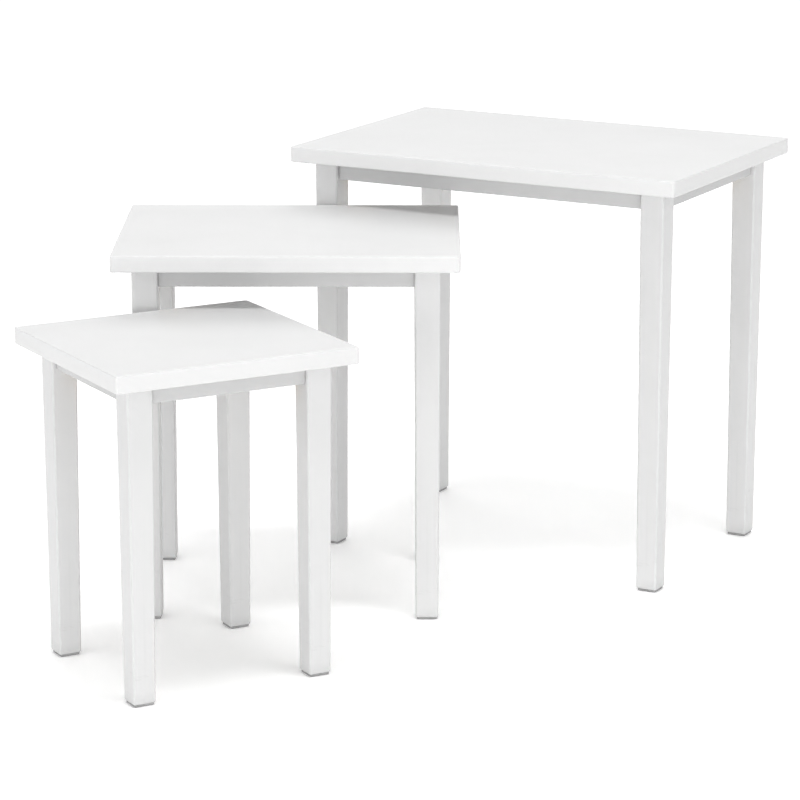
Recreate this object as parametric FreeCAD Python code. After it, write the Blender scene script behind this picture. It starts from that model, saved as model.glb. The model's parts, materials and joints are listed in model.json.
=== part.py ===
"""A nest of three white side tables, standing fanned out with each one tucked under the corner of the next.

Each table is a slab top on four square tapered legs, joined by four thin rails that are set back from the
legs' faces. A dowel and a glued butt hold each rail end, a corner block with a hanger bolt pulls each leg
tight, and screws through the blocks hold the top. A glide is pinned under each foot.

Units are millimetres. +Z is up, the tables stand on Z = 0, and the origin is at the middle of the floor
that the whole fan covers. +X runs along the medium table's front edge and +Y towards its back.
"""
import FreeCAD
import Part
import math
import os

# Each table's own size, and where its middle stands from the medium table's middle, with its turn in degrees
TABLES = {
    "large": {"width": 480.0, "depth": 328.0, "height": 474.0, "middle": (282.7, 201.2), "turn": -28.0},
    "medium": {"width": 373.0, "depth": 295.0, "height": 410.0, "middle": (0.0, 0.0), "turn": 0.0},
    "small": {"width": 271.0, "depth": 257.0, "height": 352.0, "middle": (-98.6, -275.3), "turn": 29.4},
}

# Driving dimensions that the three tables share
TOP_THICKNESS = 18.0
TOP_OVERHANG = 21.0          # from the top's edge to the legs' outer faces
TOP_CORNER_RADIUS = 3.0      # seen from above
TOP_EDGE_RADIUS = 1.5        # the eased upper and lower edges
LEG_HEAD_WIDTH = 28.5        # the square head that the rails meet
LEG_FOOT_WIDTH = 25.0
LEG_ARRIS_RADIUS = 2.5
LEG_FOOT_RADIUS = 1.8
RAIL_HEIGHT = 20.5
RAIL_THICKNESS = 15.0
RAIL_SETBACK = 5.0           # from the legs' outer faces to the rails' outer faces
RAIL_EDGE_RADIUS = 1.0
BLOCK_HEIGHT = 20.0
BLOCK_REACH = 44.0           # along each rail, from the corner where the rails' inner faces would meet
BLOCK_TIP_WIDTH = 6.0
GLIDE_THICKNESS = 2.5
GLIDE_INSET = 1.5            # from the foot's faces to the glide's
GLIDE_CORNER_RADIUS = 2.0
GLIDE_EDGE_CHAMFER = 0.5
GLIDE_PIN_RADIUS = 1.5
GLIDE_PIN_LENGTH = 12.0

# Fasteners
DOWEL_RADIUS = 4.0
DOWEL_LENGTH = 30.0
DOWEL_CHAMFER = 1.0
DOWEL_DEPTH_IN_LEG = 11.0
BOLT_RADIUS = 3.0
BOLT_LENGTH = 45.0
BOLT_DEPTH_IN_LEG = 12.7     # from the leg's inner arris
BOLT_POINT_LENGTH = 4.0
BOLT_END_CHAMFER = 0.6
WASHER_RADIUS = 6.0
WASHER_THICKNESS = 1.6
NUT_ACROSS_FLATS = 10.0
NUT_HEIGHT = 5.0
SCREW_RADIUS = 2.0
SCREW_LENGTH = 30.0
SCREW_POINT_LENGTH = 4.0
SCREW_HEAD_RADIUS = 4.0
SCREW_RECESS_WIDTH = 1.2
SCREW_RECESS_LENGTH = 4.4
SCREW_RECESS_DEPTH = 1.6
SCREW_FROM_RAIL = 7.75       # from the rail's inner face to the screw's axis
SCREW_FROM_CORNER = 30.25    # from the other rail's inner face to the screw's axis
HOLE_CLEARANCE = 0.05        # on the radius, between a fastener and its hole
HOLE_END_GAP = 0.5           # beyond a fastener's point or end

# Worked out from the driving dimensions
LEG_HALF = LEG_HEAD_WIDTH / 2
RAIL_INNER = LEG_HALF - RAIL_SETBACK - RAIL_THICKNESS       # a rail's inner face, from the leg's axis
RAIL_MIDDLE = LEG_HALF - RAIL_SETBACK - RAIL_THICKNESS / 2  # a rail's mid-plane, from the leg's axis
UP = FreeCAD.Vector(0, 0, 1)
ORIGIN = FreeCAD.Vector(0, 0, 0)
DIAGONAL = FreeCAD.Vector(1, 1, 0).normalize()              # from a table's middle out to its back right leg

# A corner piece is made for the back right leg, then turned by quarter turns for the others
CORNERS = {"back_right": (1, 1, 0), "back_left": (-1, 1, 1), "front_left": (-1, -1, 2), "front_right": (1, -1, 3)}


def rounded_square(half_x, half_y, height, radius):
    """A box on Z = 0 about the Z axis, with its four upright edges rounded."""
    box = Part.makeBox(2 * half_x, 2 * half_y, height, FreeCAD.Vector(-half_x, -half_y, 0))
    upright = [edge for edge in box.Edges if abs(edge.tangentAt(edge.FirstParameter).z) > 0.9]
    return box.makeFillet(radius, upright)


def edges_at(shape, height):
    """The edges that lie flat at one height."""
    return [edge for edge in shape.Edges
            if abs(edge.BoundBox.ZMin - height) < 1e-4 and abs(edge.BoundBox.ZMax - height) < 1e-4]


def turned(profile):
    """The solid made by turning a closed profile of (radius, z) points about the Z axis."""
    points = [FreeCAD.Vector(radius, 0, z) for radius, z in profile]
    face = Part.Face(Part.makePolygon(points + points[:1]))
    return face.revolve(ORIGIN, UP, 360)


def hole(radius, length, base, direction):
    """A plain drilled hole with room for a fastener of this radius."""
    return Part.makeCylinder(radius + HOLE_CLEARANCE, length, base, direction)


def aimed(shape, base, direction):
    """A piece that stands on the Z axis, laid along another direction from another point."""
    copy = shape.copy()
    copy.Placement = FreeCAD.Placement(base, FreeCAD.Rotation(UP, direction))
    return copy


def at_corner(shape, table, corner):
    """A back right corner piece, moved to one of the table's four corners."""
    side_x, side_y, quarter_turns = CORNERS[corner]
    x = side_x * (table["width"] / 2 - TOP_OVERHANG - LEG_HALF)
    y = side_y * (table["depth"] / 2 - TOP_OVERHANG - LEG_HALF)
    copy = shape.copy()
    copy.rotate(ORIGIN, UP, 90 * quarter_turns)
    copy.translate(FreeCAD.Vector(x, y, 0))
    return copy


def at_every_corner(shapes, table):
    """One compound of the same corner pieces at all four corners."""
    return Part.makeCompound([at_corner(shape, table, corner) for corner in CORNERS for shape in shapes])


def half_reach(table):
    """Half of a table's extent along X and along Y, from the rounded and turned outline of its top."""
    turn = math.radians(table["turn"])
    straight_x = table["width"] / 2 - TOP_CORNER_RADIUS
    straight_y = table["depth"] / 2 - TOP_CORNER_RADIUS
    cosine, sine = abs(math.cos(turn)), abs(math.sin(turn))
    return (straight_x * cosine + straight_y * sine + TOP_CORNER_RADIUS,
            straight_x * sine + straight_y * cosine + TOP_CORNER_RADIUS)


def fan_middle():
    """The middle of the floor that the whole fan covers, from the medium table's middle."""
    middle = []
    for axis in (0, 1):
        low = min(table["middle"][axis] - half_reach(table)[axis] for table in TABLES.values())
        high = max(table["middle"][axis] + half_reach(table)[axis] for table in TABLES.values())
        middle.append((low + high) / 2)
    return middle


def underside(table):
    return table["height"] - TOP_THICKNESS


def joint_height(table):
    """The height of the dowels and hanger bolts, halfway up the rails."""
    return underside(table) - RAIL_HEIGHT / 2


def screw_points(table):
    """The heads of the two screws in the back right corner block."""
    near = RAIL_INNER - SCREW_FROM_RAIL
    far = RAIL_INNER - SCREW_FROM_CORNER
    z = underside(table) - BLOCK_HEIGHT
    return [FreeCAD.Vector(far, near, z), FreeCAD.Vector(near, far, z)]


def dowel_starts(table):
    """The inner ends, in the leg, of the back right corner's two dowels, each with the way it points."""
    z = joint_height(table)
    depth = -LEG_HALF + DOWEL_DEPTH_IN_LEG
    return [(FreeCAD.Vector(depth, RAIL_MIDDLE, z), FreeCAD.Vector(-1, 0, 0)),
            (FreeCAD.Vector(RAIL_MIDDLE, depth, z), FreeCAD.Vector(0, -1, 0))]


def bolt_tip(table):
    """The point of the back right corner's hanger bolt, inside the leg."""
    arris = FreeCAD.Vector(-LEG_HALF, -LEG_HALF, joint_height(table))
    return arris + DIAGONAL * BOLT_DEPTH_IN_LEG


def block_face(table):
    """The middle of the back right corner block's slanted face, where the washer sits."""
    step = RAIL_INNER - (BLOCK_REACH + BLOCK_TIP_WIDTH) / 2
    return FreeCAD.Vector(step, step, joint_height(table))


def screw():
    """A countersunk cross-head wood screw, head down at Z = 0 and point up."""
    shank_start = SCREW_HEAD_RADIUS - SCREW_RADIUS
    body = turned([(0, 0), (SCREW_HEAD_RADIUS, 0), (SCREW_RADIUS, shank_start),
                   (SCREW_RADIUS, SCREW_LENGTH - SCREW_POINT_LENGTH), (0, SCREW_LENGTH)])
    slot = Part.makeBox(SCREW_RECESS_LENGTH, SCREW_RECESS_WIDTH, SCREW_RECESS_DEPTH,
                        FreeCAD.Vector(-SCREW_RECESS_LENGTH / 2, -SCREW_RECESS_WIDTH / 2, 0))
    cross = slot.copy()
    cross.rotate(ORIGIN, UP, 90)
    return body.cut(slot).cut(cross)


def screw_seat():
    """The countersunk hole that a top screw fills, through the block and into the top."""
    rim = SCREW_HEAD_RADIUS + HOLE_CLEARANCE
    neck = SCREW_RADIUS + HOLE_CLEARANCE
    return turned([(0, 0), (rim, 0), (neck, rim - neck), (neck, SCREW_LENGTH + HOLE_END_GAP),
                   (0, SCREW_LENGTH + HOLE_END_GAP)])


def hanger_bolt():
    """A hanger bolt, wood point at Z = 0 and machine thread up."""
    return turned([(0, 0), (BOLT_RADIUS, BOLT_POINT_LENGTH), (BOLT_RADIUS, BOLT_LENGTH - BOLT_END_CHAMFER),
                   (BOLT_RADIUS - BOLT_END_CHAMFER, BOLT_LENGTH), (0, BOLT_LENGTH)])


def washer():
    ring = Part.makeCylinder(WASHER_RADIUS, WASHER_THICKNESS)
    return ring.cut(Part.makeCylinder(BOLT_RADIUS + HOLE_CLEARANCE, WASHER_THICKNESS))


def nut():
    """A hexagon nut with its outer corners turned down at both ends."""
    corner = NUT_ACROSS_FLATS / math.sqrt(3)
    points = [FreeCAD.Vector(corner * math.cos(math.radians(60 * i)), corner * math.sin(math.radians(60 * i)), 0)
              for i in range(7)]
    prism = Part.Face(Part.makePolygon(points)).extrude(UP * NUT_HEIGHT)
    flat = NUT_ACROSS_FLATS / 2
    rise = (corner - flat) * math.tan(math.radians(30))
    envelope = turned([(0, 0), (flat, 0), (corner, rise), (corner, NUT_HEIGHT - rise), (flat, NUT_HEIGHT),
                       (0, NUT_HEIGHT)])
    return prism.common(envelope).cut(Part.makeCylinder(BOLT_RADIUS + HOLE_CLEARANCE, NUT_HEIGHT))


def dowel():
    inner = DOWEL_RADIUS - DOWEL_CHAMFER
    return turned([(0, 0), (inner, 0), (DOWEL_RADIUS, DOWEL_CHAMFER), (DOWEL_RADIUS, DOWEL_LENGTH - DOWEL_CHAMFER),
                   (inner, DOWEL_LENGTH), (0, DOWEL_LENGTH)])


def glide():
    """A square pad with chamfered lower edges and a pin that goes up into the foot."""
    half = LEG_FOOT_WIDTH / 2 - GLIDE_INSET
    pad = rounded_square(half, half, GLIDE_THICKNESS, GLIDE_CORNER_RADIUS)
    pad = pad.makeChamfer(GLIDE_EDGE_CHAMFER, edges_at(pad, 0))
    pin = Part.makeCylinder(GLIDE_PIN_RADIUS, GLIDE_THICKNESS + GLIDE_PIN_LENGTH)
    return pad.fuse(pin).removeSplitter()


def top(table):
    """The slab, eased all round, with blind holes for the screws."""
    slab = rounded_square(table["width"] / 2, table["depth"] / 2, TOP_THICKNESS, TOP_CORNER_RADIUS)
    slab = slab.makeFillet(TOP_EDGE_RADIUS, edges_at(slab, 0) + edges_at(slab, TOP_THICKNESS))
    slab.translate(UP * underside(table))
    seats = [aimed(screw_seat(), point, UP) for point in screw_points(table)]
    return slab.cut(at_every_corner(seats, table))


def leg(table):
    """The back right leg: a square head as tall as the rails, then an even taper to the foot."""
    head = LEG_HALF
    foot = LEG_FOOT_WIDTH / 2
    shoulder = underside(table) - RAIL_HEIGHT
    square = [(-1, -1), (1, -1), (1, 1), (-1, 1), (-1, -1)]
    rings = [Part.makePolygon([FreeCAD.Vector(x * half, y * half, z) for x, y in square])
             for half, z in ((foot, GLIDE_THICKNESS), (head, shoulder))]
    taper = Part.makeLoft(rings, True, True)
    post = Part.makeBox(2 * head, 2 * head, RAIL_HEIGHT, FreeCAD.Vector(-head, -head, shoulder))
    blank = taper.fuse(post)
    arrises = [edge for edge in blank.Edges if abs(edge.tangentAt(edge.FirstParameter).z) > 0.9]
    blank = blank.makeFillet(LEG_ARRIS_RADIUS, arrises)
    blank = blank.makeFillet(LEG_FOOT_RADIUS, edges_at(blank, GLIDE_THICKNESS))
    for base, direction in dowel_starts(table):
        blank = blank.cut(hole(DOWEL_RADIUS, DOWEL_LENGTH, base - direction * HOLE_END_GAP, direction))
    tip = bolt_tip(table) + DIAGONAL * HOLE_END_GAP
    blank = blank.cut(hole(BOLT_RADIUS, BOLT_LENGTH, tip, -DIAGONAL))
    return blank.cut(hole(GLIDE_PIN_RADIUS, GLIDE_THICKNESS + GLIDE_PIN_LENGTH + HOLE_END_GAP, ORIGIN, UP))


def corner_block(table):
    """The back right block: a triangle with its acute tips cut off, notched round the leg's inner arris."""
    near = RAIL_INNER
    far = RAIL_INNER - BLOCK_REACH
    tip = RAIL_INNER - BLOCK_TIP_WIDTH
    outline = [(near, -LEG_HALF), (-LEG_HALF, -LEG_HALF), (-LEG_HALF, near), (far, near), (far, tip),
               (tip, far), (near, far), (near, -LEG_HALF)]
    z = underside(table) - BLOCK_HEIGHT
    block = Part.Face(Part.makePolygon([FreeCAD.Vector(x, y, z) for x, y in outline])).extrude(UP * BLOCK_HEIGHT)
    for point in screw_points(table):
        block = block.cut(aimed(screw_seat(), point, UP))
    return block.cut(hole(BOLT_RADIUS, BOLT_LENGTH, bolt_tip(table), -DIAGONAL))


def rail(table, length):
    """A rail along X, about the Z axis, with its two lower edges eased and a dowel hole in each end."""
    base = FreeCAD.Vector(-length / 2, -RAIL_THICKNESS / 2, underside(table) - RAIL_HEIGHT)
    bar = Part.makeBox(length, RAIL_THICKNESS, RAIL_HEIGHT, base)
    lower = [edge for edge in edges_at(bar, base.z) if edge.Length > RAIL_THICKNESS]
    bar = bar.makeFillet(RAIL_EDGE_RADIUS, lower)
    depth = DOWEL_LENGTH - DOWEL_DEPTH_IN_LEG + HOLE_END_GAP
    for side in (-1, 1):
        start = FreeCAD.Vector(side * length / 2, 0, joint_height(table))
        bar = bar.cut(hole(DOWEL_RADIUS, depth, start, FreeCAD.Vector(-side, 0, 0)))
    return bar


def rails(table):
    """The four rails, by name."""
    frame_x = table["width"] - 2 * TOP_OVERHANG
    frame_y = table["depth"] - 2 * TOP_OVERHANG
    inset = RAIL_SETBACK + RAIL_THICKNESS / 2
    long_rail = rail(table, frame_x - 2 * LEG_HEAD_WIDTH)
    side_rail = rail(table, frame_y - 2 * LEG_HEAD_WIDTH)
    side_rail.rotate(ORIGIN, UP, 90)
    places = {"front": (long_rail, 0, -(frame_y / 2 - inset)), "back": (long_rail, 0, frame_y / 2 - inset),
              "left": (side_rail, -(frame_x / 2 - inset), 0), "right": (side_rail, frame_x / 2 - inset, 0)}
    pieces = {}
    for side, (shape, x, y) in places.items():
        pieces["rail_" + side] = shape.copy()
        pieces["rail_" + side].translate(FreeCAD.Vector(x, y, 0))
    return pieces


def pieces_of(table):
    """Every piece of one table, by name, about the table's own middle."""
    pieces = {"top": top(table)}
    for corner in CORNERS:
        pieces["leg_" + corner] = at_corner(leg(table), table, corner)
        pieces["corner_block_" + corner] = at_corner(corner_block(table), table, corner)
    pieces.update(rails(table))
    face = block_face(table)
    groups = {
        "dowels": [aimed(dowel(), base, direction) for base, direction in dowel_starts(table)],
        "hanger_bolts": [aimed(hanger_bolt(), bolt_tip(table), -DIAGONAL)],
        "washers": [aimed(washer(), face, -DIAGONAL)],
        "nuts": [aimed(nut(), face - DIAGONAL * WASHER_THICKNESS, -DIAGONAL)],
        "top_screws": [aimed(screw(), point, UP) for point in screw_points(table)],
        "glides": [glide()],
    }
    for name, shapes in groups.items():
        pieces[name] = at_every_corner(shapes, table)
    return pieces


def main():
    os.makedirs("parts", exist_ok=True)
    middle_x, middle_y = fan_middle()
    for name, table in TABLES.items():
        move = FreeCAD.Vector(table["middle"][0] - middle_x, table["middle"][1] - middle_y, 0)
        for piece, shape in pieces_of(table).items():
            shape.rotate(ORIGIN, UP, table["turn"])
            shape.translate(move)
            shape.exportStep("parts/" + name + "_" + piece + ".step")


main()
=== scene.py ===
"""The looks of a nest of three white side tables: painted slab tops, legs and rails, bare wood corner
blocks and dowels, zinc-plated fasteners and grey glides, on a white floor in soft studio light. Metres
throughout, in the frame's axes: +X right, +Y back, +Z up."""
import json
import math

import bmesh
import bpy
from mathutils import Matrix, Vector


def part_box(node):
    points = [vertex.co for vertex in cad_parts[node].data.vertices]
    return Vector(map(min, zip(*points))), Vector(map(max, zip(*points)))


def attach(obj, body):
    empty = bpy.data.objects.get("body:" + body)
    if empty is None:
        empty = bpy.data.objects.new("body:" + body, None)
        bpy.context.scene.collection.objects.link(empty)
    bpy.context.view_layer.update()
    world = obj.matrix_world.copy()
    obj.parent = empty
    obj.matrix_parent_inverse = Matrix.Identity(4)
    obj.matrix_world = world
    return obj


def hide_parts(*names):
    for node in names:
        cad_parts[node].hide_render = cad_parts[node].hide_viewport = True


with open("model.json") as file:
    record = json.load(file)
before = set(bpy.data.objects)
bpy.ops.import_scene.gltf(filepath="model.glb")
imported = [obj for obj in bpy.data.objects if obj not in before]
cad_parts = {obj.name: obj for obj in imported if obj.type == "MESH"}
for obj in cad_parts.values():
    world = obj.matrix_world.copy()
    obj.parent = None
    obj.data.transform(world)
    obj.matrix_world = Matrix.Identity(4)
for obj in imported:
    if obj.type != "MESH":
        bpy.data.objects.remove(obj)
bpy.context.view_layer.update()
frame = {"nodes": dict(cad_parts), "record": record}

TABLES = ("large", "medium", "small")
CORNERS = {                  # name: side in x, side in y, quarter turns from the back right
    "back_right": (1, 1, 0),
    "back_left": (-1, 1, 1),
    "front_left": (-1, -1, 2),
    "front_right": (1, -1, 3),
}
SIDES = ("front", "back", "left", "right")

# Roundings and joints, as the parts are made
TOP_CORNER_RADIUS = 0.003
TOP_EDGE_RADIUS = 0.0015
TOP_INNER_LOOP = 0.012       # from a top's edge to the one loop inside each of its flat faces
TOP_LEAST_RADIUS = TOP_CORNER_RADIUS / 6    # that loop's own corners
LEG_FOOT_WIDTH = 0.025
LEG_ARRIS_RADIUS = 0.0025
LEG_FOOT_RADIUS = 0.0018
RAIL_LOWER_RADIUS = 0.001
SEAM_RADIUS = 0.0004         # the eased edges that meet in a joint, which leave its hairline
RING_SPACING = 0.03          # between the loops along a leg or a rail
CORNER_STEPS = 6             # steps round a top's upright corners
ARRIS_STEPS = 5              # round a leg's
EDGE_STEPS = 5               # over a top's upper and lower edges
FOOT_STEPS = 4               # under a foot
SEAM_STEPS = 2               # over an eased joint edge
RAIL_STEPS = 3               # round each long edge of a rail
SHARP_ANGLE = math.radians(40)
WELD_DISTANCE = 1e-7

# Groups whose CAD shape is right as it is
CAD_SHAPED = ("washers", "nuts", "top_screws", "glides")

# The hanger bolts' threads
MACHINE_PITCH = 0.001
MACHINE_CORE = 0.0024
WOOD_PITCH = 0.0025
WOOD_CORE = 0.0021
WOOD_SHARE = 0.4             # of the bolt's length
THREAD_STEPS = 20            # round one turn
THREAD_ROWS = 4              # along one pitch: two on the crest, two in the groove
BOLT_REACH = 0.006           # how far from a bolt's axis its own points lie


# ---------------------------------------------------------------- frames and sizes, from the CAD

def middle(node):
    low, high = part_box(node)
    return (low + high) / 2


def table_frame(table):
    """The table's own frame: origin on the floor under its middle, x along its front edge."""
    legs = {corner: middle(f"{table}_leg_{corner}") for corner in CORNERS}
    centre = sum(legs.values(), Vector()) / len(legs)
    along = legs["front_right"] - legs["front_left"]
    turn = math.atan2(along.y, along.x)
    return Matrix.Translation((centre.x, centre.y, 0)) @ Matrix.Rotation(turn, 4, "Z")


def local_box(node, own_frame):
    """The node's lowest and highest corners in a frame of its own."""
    inverse = own_frame.inverted()
    points = [inverse @ vertex.co for vertex in frame["nodes"][node].data.vertices]
    return (Vector(min(p[i] for p in points) for i in range(3)),
            Vector(max(p[i] for p in points) for i in range(3)))


# ---------------------------------------------------------------- mesh building

def rounded_outline(half_x, half_y, radius, steps):
    """Points round a rectangle with rounded corners, anticlockwise, as (x, y, depth into the corner)."""
    points = []
    for corner, (side_x, side_y) in enumerate(((1, 1), (-1, 1), (-1, -1), (1, -1))):
        for step in range(steps + 1):
            angle = math.radians(90 * corner + 90 * step / steps)
            depth = 1 - abs(2 * step / steps - 1)
            points.append((side_x * (half_x - radius) + radius * math.cos(angle),
                           side_y * (half_y - radius) + radius * math.sin(angle), depth))
    return points


def new_shape():
    """An empty shape whose points carry their place in the piece's own frame, and how worn they are."""
    shape = bmesh.new()
    shape.verts.layers.float.new("edge")
    shape.verts.layers.float_vector.new("own_place")
    return shape


def cad_shape(node):
    """A copy of a CAD node's own shape, its faces joined where their points coincide."""
    shape = new_shape()
    shape.from_mesh(frame["nodes"][node].data)
    bmesh.ops.remove_doubles(shape, verts=shape.verts, dist=WELD_DISTANCE)
    return shape


def add_point(shape, own_frame, place, edge=0.0):
    vertex = shape.verts.new(own_frame @ Vector(place))
    vertex[shape.verts.layers.float["edge"]] = edge
    vertex[shape.verts.layers.float_vector["own_place"]] = place
    return vertex


def add_loft(shape, rings, own_frame):
    """A closed form through rings of (x, y, z, edge wear), capped at both ends."""
    loops = [[add_point(shape, own_frame, (x, y, z), edge) for x, y, z, edge in ring] for ring in rings]
    count = len(loops[0])
    for lower, upper in zip(loops, loops[1:]):
        for i in range(count):
            j = (i + 1) % count
            shape.faces.new((lower[i], lower[j], upper[j], upper[i]))
    shape.faces.new(list(reversed(loops[0])))
    shape.faces.new(loops[-1])


def add_thread(shape, own_frame, start, end, core, crest, pitch):
    """A screw thread along z: rows of points that follow the helix, cut square at both ends."""
    profile = (crest, crest, core, core)
    rows = math.ceil(THREAD_ROWS * ((end - start) / pitch + 1))
    grid = []
    for step in range(THREAD_STEPS):
        turned = step / THREAD_STEPS
        angle = 2 * math.pi * turned
        column = []
        for row in range(rows + THREAD_ROWS + 1):
            z = min(max(start + pitch * (row / THREAD_ROWS + turned - 1), start), end)
            lead_in = core + min(z - start, end - z)
            radius = min(profile[row % THREAD_ROWS], lead_in)
            place = (radius * math.cos(angle), radius * math.sin(angle), z)
            column.append(add_point(shape, own_frame, place))
        grid.append(column)
    for step in range(THREAD_STEPS):
        turned_once = THREAD_ROWS if step == THREAD_STEPS - 1 else 0
        near, far = grid[step], grid[(step + 1) % THREAD_STEPS]
        for row in range(rows):
            shape.faces.new((near[row], far[row + turned_once], far[row + 1 + turned_once], near[row + 1]))
    bmesh.ops.remove_doubles(shape, verts=shape.verts, dist=WELD_DISTANCE)
    open_edges = [edge for edge in shape.edges if edge.is_boundary]
    bmesh.ops.holes_fill(shape, edges=open_edges, sides=0)


def make_piece(name, shape, body, nodes, slot):
    """Turns a shape into a piece that rides on a body and stands for CAD nodes."""
    bmesh.ops.recalc_face_normals(shape, faces=shape.faces)
    for face in shape.faces:
        face.smooth = True
    for edge in shape.edges:
        edge.smooth = edge.calc_face_angle(0) < SHARP_ANGLE
    mesh = bpy.data.meshes.new(name)
    shape.to_mesh(mesh)
    shape.free()
    mesh.materials.append(MATERIALS[slot])
    piece = bpy.data.objects.new(name, mesh)
    bpy.context.scene.collection.objects.link(piece)
    shading = piece.modifiers.new("flat faces stay flat", "WEIGHTED_NORMAL")
    shading.keep_sharp = True
    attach(piece, body)
    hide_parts(*nodes)


def quarter(radius, steps):
    """A rounding from a flat end to an upright side, as (inset, rise, edge wear)."""
    arc = []
    for step in range(steps + 1):
        angle = math.radians(90 * step / steps)
        arc.append((radius * (1 - math.sin(angle)), radius * (1 - math.cos(angle)), math.sin(2 * angle)))
    return arc


def spaced(start, end):
    """Heights strictly between two others, evenly spaced."""
    count = max(1, round((end - start) / RING_SPACING))
    return [start + (end - start) * i / count for i in range(1, count)]


def top_rings(low, high):
    """A slab, eased all round, with one loop inside each flat face."""
    half_x, half_y = (high.x - low.x) / 2, (high.y - low.y) / 2
    third = (high.z - low.z) / 3
    rounding = quarter(TOP_EDGE_RADIUS, EDGE_STEPS)
    levels = [(TOP_INNER_LOOP, low.z, 0.0)]
    levels += [(inset, low.z + rise, edge) for inset, rise, edge in rounding]
    levels += [(0.0, z, 0.0) for z in (low.z + third, high.z - third)]
    levels += [(inset, high.z - rise, edge) for inset, rise, edge in reversed(rounding)]
    levels += [(TOP_INNER_LOOP, high.z, 0.0)]
    rings = []
    for inset, z, edge in levels:
        radius = max(TOP_CORNER_RADIUS - inset, TOP_LEAST_RADIUS)
        outline = rounded_outline(half_x - inset, half_y - inset, radius, CORNER_STEPS)
        on_side = inset < TOP_EDGE_RADIUS
        rings.append([(x, y, z, max(edge, depth) if on_side else edge) for x, y, depth in outline])
    return rings


def leg_rings(low, high, shoulder):
    """A square head above the shoulder and an even taper below it, eased at the arrises and the foot."""
    head = (high.x - low.x) / 2
    foot = LEG_FOOT_WIDTH / 2

    def half_at(z):
        return head if z >= shoulder else foot + (head - foot) * (z - low.z) / (shoulder - low.z)

    levels = [(inset, low.z + rise, edge) for inset, rise, edge in quarter(LEG_FOOT_RADIUS, FOOT_STEPS)]
    levels += [(0.0, z, 0.0) for z in spaced(low.z + LEG_FOOT_RADIUS, shoulder) + [shoulder]]
    seam = reversed(quarter(SEAM_RADIUS, SEAM_STEPS))
    levels += [(inset, high.z - rise, edge) for inset, rise, edge in seam]
    rings = []
    for inset, z, edge in levels:
        half = half_at(z) - inset
        outline = rounded_outline(half, half, LEG_ARRIS_RADIUS - inset / 2, ARRIS_STEPS)
        rings.append([(x, y, z, max(edge, depth)) for x, y, depth in outline])
    return rings


def rail_rings(low, high):
    """A bar along x with its two lower edges eased and every edge that meets a joint just broken."""
    half_y, half_z = (high.y - low.y) / 2, (high.z - low.z) / 2
    section = []
    for (side_y, side_z), start in (((1, 1), 0), ((-1, 1), 90), ((-1, -1), 180), ((1, -1), 270)):
        radius = SEAM_RADIUS if side_z > 0 else RAIL_LOWER_RADIUS
        for step in range(RAIL_STEPS + 1):
            angle = math.radians(start + 90 * step / RAIL_STEPS)
            depth = 1 - abs(2 * step / RAIL_STEPS - 1)
            section.append((side_y * (half_y - radius) + radius * math.cos(angle),
                            side_z * (half_z - radius) + radius * math.sin(angle), depth))
    seam = quarter(SEAM_RADIUS, SEAM_STEPS)
    levels = [(inset, low.x + rise, edge) for inset, rise, edge in seam]
    levels += [(0.0, x, 0.0) for x in spaced(low.x + SEAM_RADIUS, high.x - SEAM_RADIUS)]
    levels += [(inset, high.x - rise, edge) for inset, rise, edge in reversed(seam)]
    rings = []
    for inset, x, edge in levels:
        narrower, lower = 1 - inset / half_y, 1 - inset / half_z
        rings.append([(x, y * narrower, z * lower, max(edge, depth)) for y, z, depth in section])
    return rings


# ---------------------------------------------------------------- materials

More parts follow.
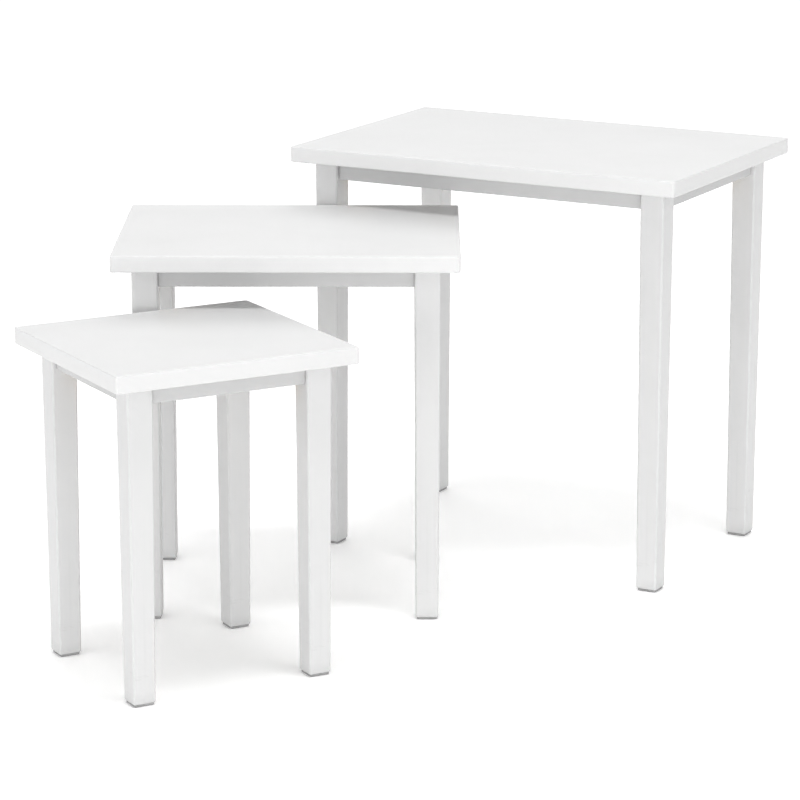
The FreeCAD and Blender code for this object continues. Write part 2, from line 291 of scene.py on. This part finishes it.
class Shader:
    """A node material being built, with the piece's own metres as its coordinates."""

    def __init__(self, name, own_place=False):
        self.material = bpy.data.materials.new(name)
        self.material.use_nodes = True
        self.tree = self.material.node_tree
        self.surface = self.tree.nodes["Principled BSDF"]
        if own_place:
            self.place = self.attribute("own_place").outputs["Vector"]
        else:
            self.place = self.add("ShaderNodeTexCoord").outputs["Object"]

    def add(self, kind, **inputs):
        node = self.tree.nodes.new(kind)
        for key, value in inputs.items():
            self.put(node.inputs[key.replace("_", " ")], value)
        return node

    def put(self, socket, value):
        if isinstance(value, bpy.types.NodeSocket):
            self.tree.links.new(value, socket)
        else:
            socket.default_value = value

    def set(self, **inputs):
        for key, value in inputs.items():
            self.put(self.surface.inputs[key.replace("_", " ")], value)

    def stretched(self, scale, turn=(0, 0, 0)):
        """The piece's coordinates, scaled along each axis."""
        node = self.add("ShaderNodeMapping", Vector=self.place, Scale=scale, Rotation=turn)
        return node.outputs["Vector"]

    def noise(self, scale, detail=2.0, roughness=0.5, place=None, distortion=0.0):
        """Noise from 0 to 1 whose features are about 1 / scale metres across."""
        node = self.add("ShaderNodeTexNoise", Vector=place or self.place, Scale=scale, Detail=detail,
                        Roughness=roughness, Distortion=distortion)
        return node.outputs["Fac"]

    def ramp(self, value, low, high, to_low=0.0, to_high=1.0):
        node = self.add("ShaderNodeMapRange", Value=value)
        node.clamp = True
        sockets = ("From Min", "From Max", "To Min", "To Max")
        for socket, number in zip(sockets, (low, high, to_low, to_high)):
            self.put(node.inputs[socket], number)
        return node.outputs["Result"]

    def math(self, operation, a, b=0.0):
        node = self.tree.nodes.new("ShaderNodeMath")
        node.operation = operation
        self.put(node.inputs[0], a)
        self.put(node.inputs[1], b)
        return node.outputs["Value"]

    def mix(self, amount, a, b):
        """Colour a going over to colour b. A Mix node's sockets go by number, since their names repeat."""
        node = self.tree.nodes.new("ShaderNodeMix")
        node.data_type = "RGBA"
        for index, value in ((0, amount), (6, a), (7, b)):
            self.put(node.inputs[index], value)
        return node.outputs[2]

    def attribute(self, name):
        node = self.tree.nodes.new("ShaderNodeAttribute")
        node.attribute_name = name
        return node

    def edge(self):
        """How near a rounded edge the surface is, as the mesh says."""
        return self.attribute("edge").outputs["Fac"]

    def height(self):
        node = self.add("ShaderNodeSeparateXYZ", Vector=self.place)
        return node.outputs["Z"]

    def bump(self, *layers):
        """Bumps laid one over another, each as (height, depth in metres, strength)."""
        normal = None
        for height, depth, strength in layers:
            node = self.add("ShaderNodeBump", Height=height, Distance=depth, Strength=strength)
            if normal is not None:
                self.put(node.inputs["Normal"], normal)
            normal = node.outputs["Normal"]
        self.put(self.surface.inputs["Normal"], normal)


TOP_WHITE = (0.795, 0.795, 0.795)
LEG_WHITE = (0.76, 0.76, 0.76)
# The rails' white is darker than the legs', though it is the same paint: painted shade for their recess
# under the top
RAIL_WHITE_SHADED = (0.69, 0.69, 0.69)
DULL = 0.985                 # how much darker the lacquer is where it is thin
WORN = 0.92                  # and along a rubbed edge
FOOT_SHADE = 0.94                 # and at the foot: painted shade, the floor's contact shadow laid into the colour
FOOT_SHADE_HEIGHT = 0.015          # above the floor, where that painted foot shade ends
SCUFF_GREY = (0.60, 0.595, 0.59, 1.0)
SCUFF_HEIGHT = 0.09          # above the floor, where the scuffs on a leg end

# Sizes of the lacquer's features, as how many go to a metre, and their depths in metres
PEEL_SCALE, PEEL_DEPTH = 650.0, 0.00004
WAVE_SCALE, WAVE_DEPTH = 18.0, 0.00035
NIB_SCALE, NIB_DEPTH = 160.0, 0.00004
CLOUD_SCALE = 7.0
WEAR_SCALE = 60.0
PORES_ACROSS, PORES_ALONG, PORE_DEPTH = 260.0, 7.0, 0.00007
SCUFF_SCALES = (45.0, 45.0, 160.0)


def shade(colour, factor):
    return tuple(channel * factor for channel in colour) + (1.0,)


def grained(axis, across, along):
    """Scales for features drawn out along one axis."""
    scale = [across] * 3
    scale[axis] = along
    return scale


def painted(name, white, grain_axis=None, scuffed_and_foot_shaded=False):
    """Satin white lacquer. On solid wood the grain shows faintly through it; on board it doesn't."""
    shader = Shader(name, own_place=True)
    peel = shader.noise(PEEL_SCALE, 1.0, 0.4)
    waves = shader.noise(WAVE_SCALE, 2.0)
    cloud = shader.noise(CLOUD_SCALE, 3.0, 0.55)
    # A few dust nibs, where the noise is at its highest
    nibs = shader.ramp(shader.noise(NIB_SCALE, 0.0), 0.80, 0.86)
    # Edges rubbed in patches
    patchy = shader.ramp(shader.noise(WEAR_SCALE, 4.0, 0.7), 0.42, 0.72)
    worn = shader.math("MULTIPLY", shader.edge(), patchy)
    colour = shader.mix(shader.ramp(cloud, 0.3, 0.7), shade(white, 1.0), shade(white, DULL))
    colour = shader.mix(shader.math("MULTIPLY", worn, 0.55), colour, shade(white, WORN))
    satin = shader.ramp(waves, 0.3, 0.7, 0.36, 0.44)
    gloss = shader.math("ADD", satin, shader.math("MULTIPLY", peel, 0.10))
    layers = [(waves, WAVE_DEPTH, 0.35), (peel, PEEL_DEPTH, 0.6), (nibs, NIB_DEPTH, 0.6)]
    if grain_axis is not None:
        place = shader.stretched(grained(grain_axis, PORES_ACROSS, PORES_ALONG))
        pores = shader.ramp(shader.noise(1.0, 4.0, 0.6, place), 0.58, 0.72)
        layers.append((pores, PORE_DEPTH, -0.7))
        colour = shader.mix(shader.math("MULTIPLY", pores, 0.2), colour, shade(white, WORN))
    if scuffed_and_foot_shaded:
        # Painted shade: the colour darkens towards the foot, standing for the floor's contact shadow
        foot_shade = shader.ramp(shader.height(), 0.0, FOOT_SHADE_HEIGHT, 1.0, 0.0)
        colour = shader.mix(foot_shade, colour, shade(white, FOOT_SHADE))
        low = shader.ramp(shader.height(), 0.0, SCUFF_HEIGHT, 1.0, 0.0)
        marks = shader.ramp(shader.noise(1.0, 3.0, 0.7, shader.stretched(SCUFF_SCALES)), 0.60, 0.74)
        scuff = shader.math("MULTIPLY", low, marks)
        colour = shader.mix(shader.math("MULTIPLY", scuff, 0.3), colour, SCUFF_GREY)
        gloss = shader.math("ADD", gloss, shader.math("MULTIPLY", scuff, 0.2))
    roughness = shader.math("ADD", gloss, shader.math("MULTIPLY", worn, 0.15))
    shader.set(Base_Color=colour, Roughness=roughness)
    shader.bump(*layers)
    return shader.material


PINE_PALE = (0.75, 0.63, 0.46, 1.0)
PINE_RING = (0.58, 0.42, 0.26, 1.0)
BEECH_PALE = (0.66, 0.47, 0.30, 1.0)
BEECH_FLECK = (0.48, 0.30, 0.17, 1.0)
PINE_RING_SCALE = 60.0       # these too are how many go to a metre
BEECH_RING_SCALE = 90.0
RINGS_ALONG = 0.06           # of their scale across the grain
RING_COUNT = 9.0             # growth rings over the whole swing of the noise that places them
FIBRES_ACROSS, FIBRES_ALONG, FIBRE_DEPTH = 900.0, 25.0, 0.00008
SAW_ACROSS, SAW_ALONG, SAW_DEPTH = 30.0, 700.0, 0.00015
LATEWOOD_DEPTH = 0.00012


def bare_wood(name, pale, dark, ring_scale, grain_axis):
    """Sawn wood: growth rings drawn out along the grain, fine fibres and the saw's marks across them."""
    shader = Shader(name, own_place=True)
    place = shader.stretched(grained(grain_axis, 1.0, RINGS_ALONG))
    wander = shader.noise(ring_scale, 2.0, 0.5, place, distortion=0.6)
    rings = shader.math("FRACT", shader.math("MULTIPLY", wander, RING_COUNT))
    late = shader.ramp(rings, 0.55, 0.95)
    place = shader.stretched(grained(grain_axis, FIBRES_ACROSS, FIBRES_ALONG))
    fibres = shader.noise(1.0, 3.0, 0.65, place)
    colour = shader.mix(shader.math("MULTIPLY", late, 0.7), pale, dark)
    colour = shader.mix(shader.ramp(fibres, 0.45, 0.75, 0.0, 0.45), colour, dark)
    saw = shader.noise(1.0, 1.0, 0.5, shader.stretched(grained(grain_axis, SAW_ACROSS, SAW_ALONG)))
    shader.set(Base_Color=colour, Roughness=shader.ramp(fibres, 0.2, 0.8, 0.62, 0.82))
    shader.bump((late, LATEWOOD_DEPTH, 0.3), (saw, SAW_DEPTH, 0.4), (fibres, FIBRE_DEPTH, 0.6))
    return shader.material


ZINC_BLUE = (0.60, 0.62, 0.66, 1.0)
ZINC_YELLOW = (0.72, 0.70, 0.62, 1.0)
ZINC_DARK = (0.42, 0.42, 0.43, 1.0)
TINT_SCALE = 55.0
SPANGLE_SCALE, SPANGLE_DEPTH = 1600.0, 0.00001
SCRATCH_SCALES = (90.0, 2600.0, 900.0)
SCRATCH_TURN = (0.3, 0.5, 0.8)
SCRATCH_DEPTH = 0.00001


def zinc(name):
    """Bright zinc plate with faint passivation colour, spangle and handling scratches."""
    shader = Shader(name)
    tint = shader.noise(TINT_SCALE, 3.0, 0.6)
    spangle = shader.noise(SPANGLE_SCALE, 2.0, 0.6)
    scratches = shader.noise(1.0, 2.0, 0.8, shader.stretched(SCRATCH_SCALES, SCRATCH_TURN))
    colour = shader.mix(shader.ramp(tint, 0.35, 0.65), ZINC_BLUE, ZINC_YELLOW)
    colour = shader.mix(shader.ramp(spangle, 0.6, 0.8, 0.0, 0.3), colour, ZINC_DARK)
    plate = shader.ramp(tint, 0.3, 0.7, 0.24, 0.38)
    scratched = shader.ramp(scratches, 0.55, 0.8, 0.0, 0.2)
    shader.set(Base_Color=colour, Metallic=1.0, Roughness=shader.math("ADD", plate, scratched))
    shader.bump((spangle, SPANGLE_DEPTH, 0.4), (scratches, SCRATCH_DEPTH, 0.5))
    return shader.material


GLIDE_GREY = (0.48, 0.48, 0.48, 1.0)
GLIDE_PALE = (0.57, 0.57, 0.57, 1.0)
GLIDE_RUBBED = (0.64, 0.635, 0.63, 1.0)
RUBBED_HEIGHT = 0.0006       # above the floor, where the rubbing ends
MOULD_SCALE, MOULD_DEPTH = 2200.0, 0.00003
BLOTCH_SCALE, BLOTCH_DEPTH = 120.0, 0.00005


def glide_plastic(name):
    """Grey moulded plastic, finely grained, rubbed paler underneath where it slides."""
    shader = Shader(name)
    mould = shader.noise(MOULD_SCALE, 2.0, 0.6)
    blotch = shader.noise(BLOTCH_SCALE, 3.0, 0.6)
    low = shader.ramp(shader.height(), 0.0, RUBBED_HEIGHT, 1.0, 0.0)
    colour = shader.mix(shader.ramp(blotch, 0.35, 0.7), GLIDE_GREY, GLIDE_PALE)
    colour = shader.mix(shader.math("MULTIPLY", low, blotch), colour, GLIDE_RUBBED)
    shader.set(Base_Color=colour, Roughness=shader.ramp(mould, 0.3, 0.7, 0.45, 0.62))
    shader.bump((mould, MOULD_DEPTH, 0.5), (blotch, BLOTCH_DEPTH, 0.3))
    return shader.material


MATERIALS = {
    "painted_top": painted("painted_top_lacquer", TOP_WHITE),
    "painted_leg": painted("painted_leg_lacquer_and_foot_shade", LEG_WHITE, grain_axis=2, scuffed_and_foot_shaded=True),
    "painted_rail": painted("painted_rail_lacquer_and_shade", RAIL_WHITE_SHADED, grain_axis=0),
    "raw_block": bare_wood("sawn_pine", PINE_PALE, PINE_RING, PINE_RING_SCALE, grain_axis=1),
    "dowel_wood": bare_wood("turned_beech", BEECH_PALE, BEECH_FLECK, BEECH_RING_SCALE, grain_axis=1),
    "zinc_steel": zinc("zinc_plate"),
    "glide_plastic": glide_plastic("glide_plastic_grain"),
}


# ---------------------------------------------------------------- the pieces

def make_top(table, own_frame):
    node = f"{table}_top"
    shape = new_shape()
    add_loft(shape, top_rings(*local_box(node, own_frame)), own_frame)
    make_piece(f"{node}_slab", shape, f"{table}_table", [node], "painted_top")


def make_leg(table, corner, own_frame, shoulder):
    node = f"{table}_leg_{corner}"
    centre = own_frame.inverted() @ middle(node)
    leg_frame = own_frame @ Matrix.Translation((centre.x, centre.y, 0))
    low, high = local_box(node, leg_frame)
    shape = new_shape()
    add_loft(shape, leg_rings(low, high, shoulder), leg_frame)
    make_piece(f"{node}_post", shape, f"{table}_table", [node], "painted_leg")


def make_rail(table, side, own_frame):
    node = f"{table}_rail_{side}"
    centre = own_frame.inverted() @ middle(node)
    turn = 0 if side in ("front", "back") else 90
    rail_frame = own_frame @ Matrix.Translation(centre) @ Matrix.Rotation(math.radians(turn), 4, "Z")
    shape = new_shape()
    add_loft(shape, rail_rings(*local_box(node, rail_frame)), rail_frame)
    make_piece(f"{node}_bar", shape, f"{table}_table", [node], "painted_rail")


def make_block(table, corner, own_frame):
    """The CAD block's own shape, with a frame whose y runs along its slanted face, where its grain runs."""
    node = f"{table}_corner_block_{corner}"
    centre = own_frame.inverted() @ middle(node)
    _, _, quarter_turns = CORNERS[corner]
    turn = 45 + 90 * quarter_turns
    block_frame = own_frame @ Matrix.Translation(centre) @ Matrix.Rotation(math.radians(turn), 4, "Z")
    inverse = block_frame.inverted()
    shape = cad_shape(node)
    own_place = shape.verts.layers.float_vector["own_place"]
    for vertex in shape.verts:
        vertex[own_place] = inverse @ vertex.co
    make_piece(f"{node}_sawn", shape, f"{table}_table", [node], "raw_block")


def solids(shape):
    """The shape's separate solids, each as a list of its points."""
    left = dict.fromkeys(shape.verts)
    while left:
        reached = [next(iter(left))]
        del left[reached[0]]
        for vertex in reached:
            for edge in vertex.link_edges:
                other = edge.other_vert(vertex)
                if other in left:
                    del left[other]
                    reached.append(other)
        yield reached


def make_dowels(table, own_frame):
    """The CAD dowels' own shapes, each with a frame whose y runs along it, as its grain does."""
    node = f"{table}_dowels"
    inverse = own_frame.inverted()
    shape = cad_shape(node)
    own_place = shape.verts.layers.float_vector["own_place"]
    for dowel in solids(shape):
        places = [inverse @ vertex.co for vertex in dowel]
        low = Vector([min(place[axis] for place in places) for axis in range(3)])
        high = Vector([max(place[axis] for place in places) for axis in range(3)])
        along_x = high.x - low.x > high.y - low.y
        for vertex, place in zip(dowel, places):
            across_x, across_y, up = place - (low + high) / 2
            vertex[own_place] = (across_y, across_x, up) if along_x else (across_x, across_y, up)
    make_piece(f"{node}_turned", shape, f"{table}_table", [node], "dowel_wood")


def make_bolts(table, own_frame):
    """Hanger bolts: a coarse thread in the leg, and a machine thread that takes the washer and the nut."""
    node = f"{table}_hanger_bolts"
    points = [vertex.co for vertex in frame["nodes"][node].data.vertices]
    shape = new_shape()
    for corner, (side_x, side_y, _) in CORNERS.items():
        leg = own_frame.inverted() @ middle(f"{table}_leg_{corner}")
        inward = Vector((-side_x, -side_y, 0)).to_track_quat("Z", "X").to_matrix().to_4x4()
        bolt_frame = own_frame @ Matrix.Translation((leg.x, leg.y, middle(node).z)) @ inward
        inverse = bolt_frame.inverted()
        places = [inverse @ point for point in points]
        own_points = [place for place in places if place.xy.length < BOLT_REACH]
        start, end = min(place.z for place in own_points), max(place.z for place in own_points)
        radius = max(place.xy.length for place in own_points)
        joint = start + (end - start) * WOOD_SHARE
        add_thread(shape, bolt_frame, start, joint, WOOD_CORE, radius, WOOD_PITCH)
        add_thread(shape, bolt_frame, joint, end, MACHINE_CORE, radius, MACHINE_PITCH)
    make_piece(f"{node}_threaded", shape, f"{table}_table", [node], "zinc_steel")


def finish_cad_nodes(table):
    """The small pieces whose CAD shape is right get a better material."""
    for subpart in frame["record"]["subparts"]:
        node = subpart["node"]
        group = node.removeprefix(f"{table}_")
        if group in CAD_SHAPED:
            for slot in frame["nodes"][node].material_slots:
                slot.material = MATERIALS[subpart["material_slot"]]


for table in TABLES:
    own_frame = table_frame(table)
    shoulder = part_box(f"{table}_rail_front")[0].z
    make_top(table, own_frame)
    for corner in CORNERS:
        make_leg(table, corner, own_frame, shoulder)
        make_block(table, corner, own_frame)
    for side in SIDES:
        make_rail(table, side, own_frame)
    make_dowels(table, own_frame)
    make_bolts(table, own_frame)
    finish_cad_nodes(table)


# ---------------------------------------------------------------- floor, light and camera

FLOOR_RADIUS = 4.0
FLOOR_WHITE = (0.92, 0.92, 0.92, 1.0)
FLOOR_GLOW = 0.15
FLOOR_SEGMENTS = 96
FLOOR_DROP = 0.0002          # just under the glides, so that their faces don't coincide
floor_mesh = bpy.data.meshes.new("studio_floor")
floor_shape = bmesh.new()
bmesh.ops.create_circle(floor_shape, cap_ends=True, segments=FLOOR_SEGMENTS, radius=FLOOR_RADIUS,
                        matrix=Matrix.Translation((0, 0, -FLOOR_DROP)))
floor_shape.to_mesh(floor_mesh)
floor_shape.free()
studio_floor = bpy.data.objects.new("studio_floor", floor_mesh)
bpy.context.scene.collection.objects.link(studio_floor)
floor_shader = Shader("studio_floor_white")
floor_shader.set(Base_Color=FLOOR_WHITE, Roughness=1.0, Specular_IOR_Level=0.0,
                 Emission_Color=(1, 1, 1, 1), Emission_Strength=FLOOR_GLOW)
floor_mesh.materials.append(floor_shader.material)


LIGHT_TARGET = Vector((0.0, 0.0, 0.25))
# name, degrees round from the front, degrees up, metres away, width, height, watts
SOFT_LIGHTS = (
    ("front_low_strip", 0, 4, 5.0, 5.5, 0.8, 52.0),
    ("right_softbox", 60, 30, 5.0, 4.0, 2.5, 19.0),
    ("left_softbox", -75, 10, 5.0, 4.0, 1.5, 23.0),
    ("overhead_strip", 0, 78, 4.0, 2.4, 0.5, 42.0),
    ("back_softbox", 180, 45, 5.0, 4.5, 2.5, 40.0),
)


def soft_light(name, round_degrees, up_degrees, distance, width, height, watts):
    """An area light on a sphere round the tables, facing them."""
    azimuth, elevation = math.radians(round_degrees), math.radians(up_degrees)
    away = Vector((math.sin(azimuth) * math.cos(elevation), -math.cos(azimuth) * math.cos(elevation),
                   math.sin(elevation)))
    light = bpy.data.lights.new(name, "AREA")
    light.shape = "RECTANGLE"
    light.size = width
    light.size_y = height
    light.energy = watts
    lamp = bpy.data.objects.new(name, light)
    bpy.context.scene.collection.objects.link(lamp)
    lamp.visible_camera = False
    lamp.location = LIGHT_TARGET + away * distance
    lamp.rotation_euler = (-away).to_track_quat("-Z", "Y").to_euler()


for light_values in SOFT_LIGHTS:
    soft_light(*light_values)

WORLD_LIGHT = 0.765          # how strongly the white surroundings light the tables
WORLD_SEEN = 1.1             # and how white they look past the floor's edge
world = bpy.data.worlds.new("studio_white")
bpy.context.scene.world = world
world.use_nodes = True
sky = world.node_tree.nodes["Background"]
sky.inputs["Color"].default_value = (1, 1, 1, 1)
seen = world.node_tree.nodes.new("ShaderNodeLightPath").outputs["Is Camera Ray"]
sky_strength = world.node_tree.nodes.new("ShaderNodeMapRange")
sky_strength.inputs["To Min"].default_value = WORLD_LIGHT
sky_strength.inputs["To Max"].default_value = WORLD_SEEN
world.node_tree.links.new(seen, sky_strength.inputs["Value"])
world.node_tree.links.new(sky_strength.outputs["Result"], sky.inputs["Strength"])

CAMERA_PLACE = Vector((0.0005, -3.6928, 1.1345))
CAMERA_PITCH = math.radians(90 - 13.964)
CAMERA_YAW = math.radians(0.396)
CAMERA_LENS = 153.42         # mm
SENSOR_WIDTH = 36.0          # mm
CLIP_END = 100.0
camera_data = bpy.data.cameras.new("camera")
camera_data.lens = CAMERA_LENS
camera_data.sensor_width = SENSOR_WIDTH
camera_data.clip_end = CLIP_END
camera = bpy.data.objects.new("camera", camera_data)
camera.location = CAMERA_PLACE
camera.rotation_euler = (CAMERA_PITCH, 0.0, CAMERA_YAW)
bpy.context.scene.collection.objects.link(camera)
bpy.context.scene.camera = camera

DISPLAY_GAMMA = 0.55         # steeper near white, so that one white parts from another
bpy.context.scene.view_settings.view_transform = "Standard"
bpy.context.scene.view_settings.gamma = DISPLAY_GAMMA
